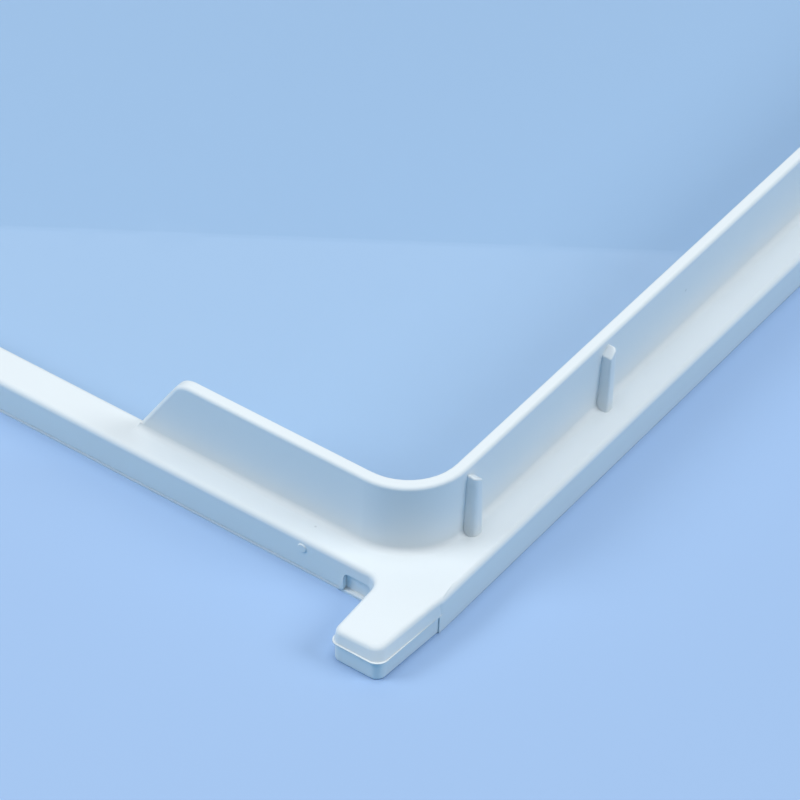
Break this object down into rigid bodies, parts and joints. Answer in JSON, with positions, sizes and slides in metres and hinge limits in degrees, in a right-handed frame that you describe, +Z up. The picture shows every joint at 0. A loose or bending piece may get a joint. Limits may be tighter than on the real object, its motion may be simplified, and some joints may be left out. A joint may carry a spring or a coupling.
{
  "type": "refrigerator shelf",
  "caption": "Flat refrigerator shelf: a clear glass pane in a white moulded frame with a ribbed backstop wall round its rear and a support tab sticking out sideways at each rear corner.",
  "frame": {"origin": "middle of the frame in plan, at the underside of the lower frame", "axes": "+X along the width from tab to tab, +Y towards the rear of the cabinet, +Z up"},
  "size_m": [0.5108, 0.32, 0.031],
  "materials": {
    "white_plastic": "injection-moulded white plastic, satin gloss",
    "clear_glass": "clear flat glass with seamed edges"
  },
  "bodies": {
    "root": {"upper_frame": "white_plastic", "lower_frame": "white_plastic", "glass_pane": "clear_glass"}
  },
  "joints": []
}
